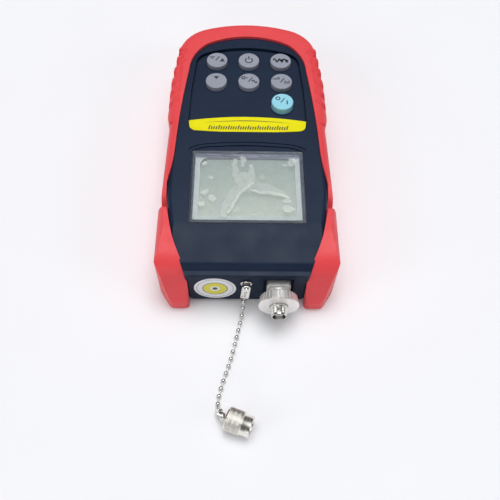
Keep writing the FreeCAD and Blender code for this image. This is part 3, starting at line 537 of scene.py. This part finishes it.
class Print:
    """Flat marks of ink on one face, drawn in millimetres about its middle.

    across and up are the directions of the marks' own right and top, and size makes them larger.
    """

    def __init__(self, middle, across, up, size=1.0):
        self.middle, self.across, self.up, self.size = Vector(middle), Vector(across), Vector(up), size
        self.out = self.across.cross(self.up)
        self.mesh = bmesh.new()

    def at(self, u, v, lift=0.0):
        """The point at (u, v) on the marks' own face, lifted off it."""
        flat = self.across * u * self.size + self.up * v * self.size
        return self.middle + (flat + self.out * lift) * MM

    def area(self, outline):
        """A filled shape, as a thin slab."""
        low = [self.mesh.verts.new(self.at(u, v, INK_GAP)) for u, v in outline]
        high = [self.mesh.verts.new(self.at(u, v, INK)) for u, v in outline]
        self.mesh.faces.new(high)
        self.mesh.faces.new(low[::-1])
        for i in range(len(outline)):
            j = (i + 1) % len(outline)
            self.mesh.faces.new((low[i], low[j], high[j], high[i]))

    def line(self, points, width, taper=False):
        """A stroke of even width, or one that thins to its ends."""
        points = [Vector(p) for p in points]
        left, right = [], []
        for i, p in enumerate(points):
            ahead = (points[min(i + 1, len(points) - 1)] - points[max(i - 1, 0)]).normalized()
            share = math.sin(math.pi * (i + 0.15) / (len(points) - 0.7)) if taper else 1.0
            side = Vector((-ahead.y, ahead.x)) * width / 2 * share
            left.append(p + side)
            right.append(p - side)
        self.area(left + right[::-1])

    def ring(self, u, v, inside, outside, start=0.0, sweep=360.0, steps=36):
        """A ring, or an arc of one, in degrees from the marks' right."""
        angles = [math.radians(start + sweep * i / steps) for i in range(steps + 1)]
        for a, b in zip(angles, angles[1:]):
            corners = [(outside, a), (outside, b), (inside, b), (inside, a)]
            self.area([(u + r * math.cos(t), v + r * math.sin(t)) for r, t in corners][::-1])

    def disc(self, u, v, radius, steps=32):
        turns = [2 * math.pi * i / steps for i in range(steps)]
        self.area([(u + radius * math.cos(t), v + radius * math.sin(t)) for t in turns])

    def finish(self, name, material, body, slot):
        mark = new_piece(name, self.mesh, material, smooth=False)
        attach(mark, body)


def wave(u, v, length, height, periods, steps=28):
    """Points of a sine wave about (u, v)."""
    return [
        (u + length * (i / steps - 0.5), v + height * math.sin(2 * math.pi * periods * i / steps))
        for i in range(steps + 1)
    ]


def slash(ink, u, v):
    """The stroke between a key's two marks."""
    ink.line([(u - 0.9, v - 1.4), (u + 0.9, v + 1.4)], STROKE)


def up_marks(ink):
    """Reference level and a rising triangle."""
    ink.line([(-3.6, 1.9), (-1.1, 1.9)], STROKE)
    ink.line([(-3.1, 1.0), (-1.6, 1.0)], STROKE)
    slash(ink, 0.2, 0.9)
    ink.area([(1.2, -1.3), (3.8, -1.3), (2.5, 1.1)])


def power_marks(ink):
    """Open ring with a bar."""
    ink.ring(0, -0.2, 1.35, 1.9, 125, 290)
    ink.line([(0, 0.5), (0, 2.5)], 0.6)


def mode_marks(ink):
    """A wave."""
    ink.line(wave(0, 0, 7.0, 1.15, 3, 60), 0.62)


def down_marks(ink):
    """Falling triangle."""
    ink.area([(-1.3, 2.6), (1.3, 2.6), (0, 0.7)][::-1])


def wavelength_marks(ink):
    """A setting ring and one wavelength."""
    ink.ring(-2.5, 1.8, 0.5, 1.05)
    ink.line([(-1.3, 1.8), (-0.4, 1.8)], STROKE)
    slash(ink, 0.7, 0.7)
    ink.line(wave(2.6, -0.5, 2.4, 0.85, 1), 0.55)


def unit_marks(ink):
    """Level bars on both sides of the slash."""
    for i in range(4):
        ink.line([(-3.7 + 0.85 * i, 0.9), (-3.7 + 0.85 * i, 1.6 + 0.35 * i)], STROKE)
    slash(ink, 0.4, 0.5)
    for i in range(3):
        ink.line([(1.6 + 0.95 * i, -1.7), (1.6 + 0.95 * i, 0.3 - 0.5 * (i % 2))], 0.52)


def source_marks(ink):
    """Off and on: a ring and a bar."""
    ink.ring(-2.0, 1.8, 0.6, 1.15)
    slash(ink, 0.1, 0.6)
    ink.line([(2.1, -1.8), (2.1, 0.6)], 0.6)


KEY_MARKS = {
    "key_up": up_marks, "key_power": power_marks, "key_mode": mode_marks, "key_down": down_marks,
    "key_wavelength": wavelength_marks, "key_unit": unit_marks, "key_source": source_marks,
}


def key_prints():
    """The marks on the keys; each moves with its key."""
    for key, draw in KEY_MARKS.items():
        low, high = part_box(key)
        top = Vector(((low.x + high.x) / 2, (low.y + high.y) / 2, high.z))
        ink = Print(top, (1, 0, 0), (0, 1, 0), KEY_MARK_SIZE)
        draw(ink)
        blue = key == "key_source"
        colour = INK_BLUE if blue else INK_DARK
        ink.finish(key + "_mark", colour, key + "_cap", "key_blue" if blue else "key_grey")


def strip_print_marks():
    """Rule and graduation on the yellow strip."""
    low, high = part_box("name_strip")
    ink = Print((0, low.y, high.z), (1, 0, 0), (0, 1, 0))
    depth = (high.y - low.y) / MM
    shares = [2 * i / RULE_STEPS - 1 for i in range(RULE_STEPS + 1)]
    rule = [(RULE_HALF * share, depth - RULE_INSET - RULE_SAG * share ** 2) for share in shares]
    ink.line(rule, STROKE, taper=True)
    for i in range(TICKS):
        u = TICKS_HALF * (2 * i / (TICKS - 1) - 1)
        tall = TICK_TALL if i % TICKS_PER_TALL == 0 else TICK_SHORT
        ink.line([(u, TICK_BASE), (u + TICK_LEAN * tall, TICK_BASE + tall)], TICK_WIDTH)
    ink.finish("strip_marks", INK_OLIVE, "meter", "strip")


def sticker_marks():
    """End view of a fibre on the round sticker: core, cladding and a thin outer ring."""
    low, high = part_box("port_sticker")
    face = Vector(((low.x + high.x) / 2, low.y, (low.z + high.z) / 2))
    ring = Print(face, (1, 0, 0), (0, 0, 1))
    ring.ring(0, 0, *LABEL_RING, steps=64)
    ring.finish("sticker_ring", INK_GREY, "meter", "sticker")
    cladding = Print(face, (1, 0, 0), (0, 0, 1))
    cladding.ring(0, 0, *LABEL_CLADDING, steps=48)
    cladding.finish("sticker_cladding", INK_YELLOW, "meter", "sticker")
    core = Print(face, (1, 0, 0), (0, 0, 1))
    core.disc(0, 0, LABEL_CORE)
    core.ring(0, 0, *LABEL_EDGE, steps=48)
    core.finish("sticker_core", INK_OLIVE, "meter", "sticker")


# ---------------------------------------------------------------- display

# Blisters under the film, in millimetres: (x, y, half width, half depth, strength)
BUBBLES = [
    (-20.7, -14.9, 1.8, 1.8, 0.9), (-17.5, -23.5, 1.6, 1.7, 0.8), (-18.0, -26.0, 1.0, 1.1, 0.5),
    (-19.9, -32.0, 2.6, 2.2, 0.9), (-16.7, -35.6, 2.8, 2.8, 0.9), (-21.5, -38.6, 2.4, 2.2, 1.0),
    (-22.2, -35.6, 1.0, 1.1, 0.7), (-5.2, -42.5, 1.8, 1.8, 0.5), (18.4, -36.9, 3.2, 1.9, 0.9),
    (18.6, -41.2, 3.8, 3.2, 1.0), (7.2, -22.8, 2.2, 2.0, 0.4), (18.2, -15.7, 2.0, 1.2, 0.8),
    (21.6, -13.8, 3.0, 3.6, 1.0), (0.9, -35.3, 1.1, 1.0, 0.4), (4.0, -44.6, 2.0, 1.4, 0.5),
]
# Loose channels of the film and narrow lines of painted highlight along their edges: their strength, and
# lines of (x, y, half width) in millimetres
CHANNELS = [
    (0.8, [(-6.2, -12.8, 1.6), (-6.2, -16.8, 1.9), (-5.8, -20.7, 2.3), (-4.8, -24.4, 2.9),
           (-2.4, -27.4, 3.4)]),
    (1.0, [(-2.2, -12.0, 2.2), (-2.2, -16.4, 1.0)]),
    (0.8, [(1.8, -16.0, 1.1), (1.8, -20.6, 2.3), (1.5, -24.3, 3.4), (0.0, -27.3, 4.2)]),
    (0.75, [(-1.5, -22.5, 3.6), (-1.0, -26.5, 6.8)]),
    (0.7, [(-0.2, -26.9, 3.8), (-3.6, -29.6, 3.9), (-5.9, -32.5, 3.9), (-7.9, -36.2, 3.7), (-9.3, -39.7, 3.4),
           (-10.5, -42.6, 2.9), (-11.1, -45.0, 2.2)]),
    # A narrow line of painted highlight along the main channel's lower edge, raised a little too
    (1.2, [(2.8, -26.6, 0.9), (-1.6, -29.9, 1.0), (-4.2, -33.8, 1.0), (-6.4, -38.4, 0.9),
           (-8.8, -43.6, 0.7)]),
    (0.55, [(2.6, -27.5, 3.4), (7.1, -28.8, 3.0), (11.8, -30.6, 2.7), (15.4, -32.2, 2.1),
            (18.8, -34.0, 1.3)]),
    # A narrow line of painted highlight along the right arm's lower edge, raised a little too
    (1.1, [(1.6, -30.9, 0.8), (5.9, -31.8, 1.2), (11.8, -32.3, 1.5), (15.3, -33.0, 1.4),
           (18.8, -34.8, 1.1)]),
]
# The sheet, in millimetres: spacing of its points, height at rest, and how far trapped air, its
# curled edge and its slow waves lift it
FILM_STEP = 0.35
FILM_REST, FILM_SWELL, FILM_CURL, FILM_CURL_WIDTH, FILM_WAVE = 0.03, 0.16, 0.12, 1.2, 0.02
# How far each corner of the sheet stays inside the CAD film's box: (x, y) in millimetres
FILM_INSETS = {(0, 0): (0.5, 0.3), (1, 0): (0.25, 0.35), (0, 1): (0.05, 0.8), (1, 1): (0.1, 0.05)}


def blister(away):
    """Lift and milkiness of the film across a blister: 0 at its side (away 1), a raised rim that is partly
    painted highlight, then a soft middle.
    """
    if away >= 1:
        return 0.0
    return 0.46 * (1 - away * away) ** 1.5 + 0.36 * math.exp(-((away - 0.6) / 0.2) ** 2) * (1 - away)


def closeness(x, y, channel):
    """Lift of the film near a channel."""
    best = 0.0
    for (ax, ay, aw), (bx, by, bw) in zip(channel, channel[1:]):
        dx, dy = bx - ax, by - ay
        t = min(max(((x - ax) * dx + (y - ay) * dy) / (dx * dx + dy * dy), 0.0), 1.0)
        away = math.hypot(x - ax - t * dx, y - ay - t * dy) / (aw + t * (bw - aw))
        best = max(best, blister(away))
    return best


def air_and_painted_glints(x, y):
    """How strongly the film is lifted and milky at a place in millimetres, from 0 to about 0.6, the lines of
    painted highlight included.
    """
    x, y = x + 0.22 * math.sin(1.1 * y) + 0.1 * math.sin(3.1 * y + 1), y + 0.22 * math.sin(0.9 * x + 2)
    air = max(strength * closeness(x, y, channel) for strength, channel in CHANNELS)
    for bx, by, half, deep, strength in BUBBLES:
        air = max(air, strength * blister(math.hypot((x - bx) / half, (y - by) / deep)))
    return air


def film_place(across, up, left, right, near, far):
    """A place on the sheet, which sits a little askew on the window."""
    x = y = 0.0
    for (i, j), (dx, dy) in FILM_INSETS.items():
        share = (across if i else 1 - across) * (up if j else 1 - up)
        x += share * (right - dx if i else left + dx)
        y += share * (far - dy if j else near + dy)
    return x, y


def window_film():
    """The protective film as a thin wavy sheet with its bubbles, in place of the flat CAD one."""
    low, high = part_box("window_film")
    left, right, near, far = (v / MM for v in (low.x, high.x, low.y, high.y))
    columns = round((right - left) / FILM_STEP)
    rows = round((far - near) / FILM_STEP)
    mesh = bmesh.new()
    lifts, grid = [], []
    for j in range(rows + 1):
        row = []
        for i in range(columns + 1):
            x, y = film_place(i / columns, j / rows, left, right, near, far)
            air = air_and_painted_glints(x, y)
            edge = min(i, columns - i, j, rows - j) * FILM_STEP
            fray = 0.5 + 0.5 * math.sin(0.35 * x + 0.2 * y)
            curl = FILM_CURL * max(0.0, 1 - edge / FILM_CURL_WIDTH) * fray
            waves = FILM_WAVE * math.sin(0.5 * x) * math.cos(0.4 * y)
            lift = FILM_REST + FILM_SWELL * air + curl + waves
            row.append(mesh.verts.new(Vector((x, y, low.z / MM + lift)) * MM))
            lifts.append(air)
        grid.append(row)
    for lower, upper in zip(grid, grid[1:]):
        for i in range(columns):
            mesh.faces.new((lower[i], lower[i + 1], upper[i + 1], upper[i]))
    film = new_piece("peel_film", mesh, FINISHES["film"])
    air = film.data.attributes.new("air", "FLOAT", "POINT")
    air.data.foreach_set("value", lifts)
    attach(film, "meter")
    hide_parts("window_film")


def display_border_shade():
    """A dark band of painted shade on the window's underside, over the frame beyond the display's far edge.
    """
    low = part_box("display_window")[0]
    band = Print((0, 0, low.z), (1, 0, 0), (0, 1, 0))
    half, near, far = BORDER_HALF, LCD_FAR + 0.3, BORDER_FAR
    band.area([(-half, near - 0.6), (half, near - 0.6), (half, far), (-half, far)])
    band.finish("display_border_shade", BORDER_SHADE, "meter", "lcd_white")


def display_gap_shadow():
    """A dark ribbon painted on the display: painted shadow in the gap under its frame's far lip."""
    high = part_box("lcd_glass")[1]
    gap = Print((0, 0, high.z), (1, 0, 0), (0, 1, 0))
    half, far, corner = LCD_HALF, LCD_FAR, LCD_CORNER
    path = []  # round the far left corner, along the far edge and back down the right
    for i in range(GAP_STEPS + 1):
        turn = math.radians(200 - 110 * i / GAP_STEPS)
        path.append((corner - half + corner * math.cos(turn), far - corner + corner * math.sin(turn)))
    path += [(u, far + 0.02 * abs(u)) for u in (-9, 0, 9)]
    path += [(-u, v) for u, v in reversed(path[:GAP_STEPS + 1])]
    gap.line([(u, v - GAP_INSET) for u, v in path], GAP_WIDTH, taper=True)
    gap.finish("display_gap_shadow", SHADOW_GAP, "meter", "lcd_glass")


# ---------------------------------------------------------------- rubber boot

def grip_fills():
    """Rubber under the end of each grip's last groove, where the boot's wall is cut through."""
    low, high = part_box("rubber_boot")
    middle = (low.x + high.x) / 2
    stretch = Matrix.Diagonal((FILL_RADIUS, FILL_RADIUS, FILL_HEIGHT, 1))
    for side, away in (("left", -1), ("right", 1)):
        across, along_side, up = FILL_FACING
        outward = Vector((across * away, along_side, up)).normalized()
        hole = Vector((middle + away * FILL_ACROSS * MM, high.y - FILL_FROM_END * MM, low.z + FILL_UP * MM))
        lens = turning(hole - outward * FILL_DEPTH, outward) @ stretch
        mesh = bmesh.new()
        bmesh.ops.create_icosphere(mesh, subdivisions=3, radius=1, matrix=lens)
        fill = new_piece("grip_fill_" + side, mesh, FINISHES["boot"])
        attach(fill, "meter")


# ---------------------------------------------------------------- studio

def add_camera():
    """The photograph's own view."""
    elevation, yaw, roll = (math.radians(a) for a in (CAMERA_ELEVATION, CAMERA_YAW, CAMERA_ROLL))
    ahead = Vector((
        math.sin(yaw) * math.cos(elevation), math.cos(yaw) * math.cos(elevation), -math.sin(elevation)))
    level = Vector((math.cos(yaw), -math.sin(yaw), 0))
    up = level.cross(ahead)
    right = math.cos(roll) * level + math.sin(roll) * up
    top = right.cross(ahead)
    data = bpy.data.cameras.new("camera")
    data.lens, data.sensor_width = CAMERA_LENS, CAMERA_SENSOR
    data.clip_start = 0.01
    camera = bpy.data.objects.new("camera", data)
    turn = Matrix((right, top, -ahead)).transposed().to_4x4()
    camera.matrix_world = Matrix.Translation(Vector(CAMERA_PLACE) * MM) @ turn
    bpy.context.scene.collection.objects.link(camera)
    bpy.context.scene.camera = camera


def add_floor():
    """A plain pale floor, far wider than the view."""
    mesh = bmesh.new()
    bmesh.ops.create_grid(mesh, x_segments=8, y_segments=8, size=FLOOR_SIZE / 2)
    finish = Finish("floor_paper", 0.7)
    tone = tuple(c * 0.99 for c in FLOOR_COLOUR)
    finish.colour(finish.ramp(finish.noise(60, 3), tone, FLOOR_COLOUR))
    finish.shader.inputs["Specular IOR Level"].default_value = 0.2
    new_piece("floor", mesh, finish.material)


def add_lamp(name, place, spread, strength, colour=(1, 1, 1)):
    """A far soft lamp that shines from this direction, as wide as its spread in degrees."""
    data = bpy.data.lights.new(name, "SUN")
    data.angle, data.energy, data.color = math.radians(spread), strength, colour
    lamp = bpy.data.objects.new(name, data)
    lamp.location = place
    lamp.rotation_euler = Vector(place).to_track_quat("Z", "Y").to_euler()
    bpy.context.scene.collection.objects.link(lamp)


def add_world():
    """A soft bright ceiling over a dim room; cameras see the paper's own white behind the object."""
    world = bpy.data.worlds.new("studio")
    world.use_nodes = True
    tree = world.node_tree
    nodes, links = tree.nodes, tree.links
    dome = nodes["Background"]
    place = nodes.new("ShaderNodeTexCoord")
    height = nodes.new("ShaderNodeVectorMath")
    height.operation = "DOT_PRODUCT"
    height.inputs[1].default_value = CEILING_AXIS
    links.new(place.outputs["Generated"], height.inputs[0])
    level = nodes.new("ShaderNodeMapRange")
    level.interpolation_type = "SMOOTHSTEP"
    level.inputs["From Min"].default_value, level.inputs["From Max"].default_value = CEILING_EDGE
    level.inputs["To Min"].default_value, level.inputs["To Max"].default_value = ROOM_LEVELS
    links.new(height.outputs["Value"], level.inputs["Value"])
    links.new(level.outputs[0], dome.inputs["Strength"])
    dome.inputs["Color"].default_value = (0.96, 0.98, 1.0, 1)
    paper = nodes.new("ShaderNodeBackground")
    paper.inputs["Color"].default_value = (*FLOOR_COLOUR, 1)
    seen = nodes.new("ShaderNodeLightPath")
    blend = nodes.new("ShaderNodeMixShader")
    links.new(seen.outputs["Is Camera Ray"], blend.inputs["Fac"])
    links.new(dome.outputs[0], blend.inputs[1])
    links.new(paper.outputs[0], blend.inputs[2])
    links.new(blend.outputs[0], nodes["World Output"].inputs["Surface"])
    bpy.context.scene.world = world


def add_studio():
    """Floor, world and the lamps: the main light from above and behind, with soft fill from three sides."""
    bpy.context.scene.view_settings.view_transform = "Standard"
    add_floor()
    add_world()
    add_lamp("softbox_top", (0.05, 0.32, 1.15), 33, 1.06, (1.0, 0.99, 0.98))
    add_lamp("softbox_left", (-0.75, -0.4, 0.45), 29, 0.42)
    add_lamp("softbox_right", (0.8, -0.3, 0.45), 24, 0.32)
    add_lamp("softbox_front", (-0.4, -2.2, 0.56), 24, 0.35)


# ---------------------------------------------------------------- the scene

dress_nodes()
chain, chain_points = bead_chain()
dust_cap()
key_prints()
strip_print_marks()
sticker_marks()
display_gap_shadow()
display_border_shade()
window_film()
grip_fills()
add_camera()
add_studio()
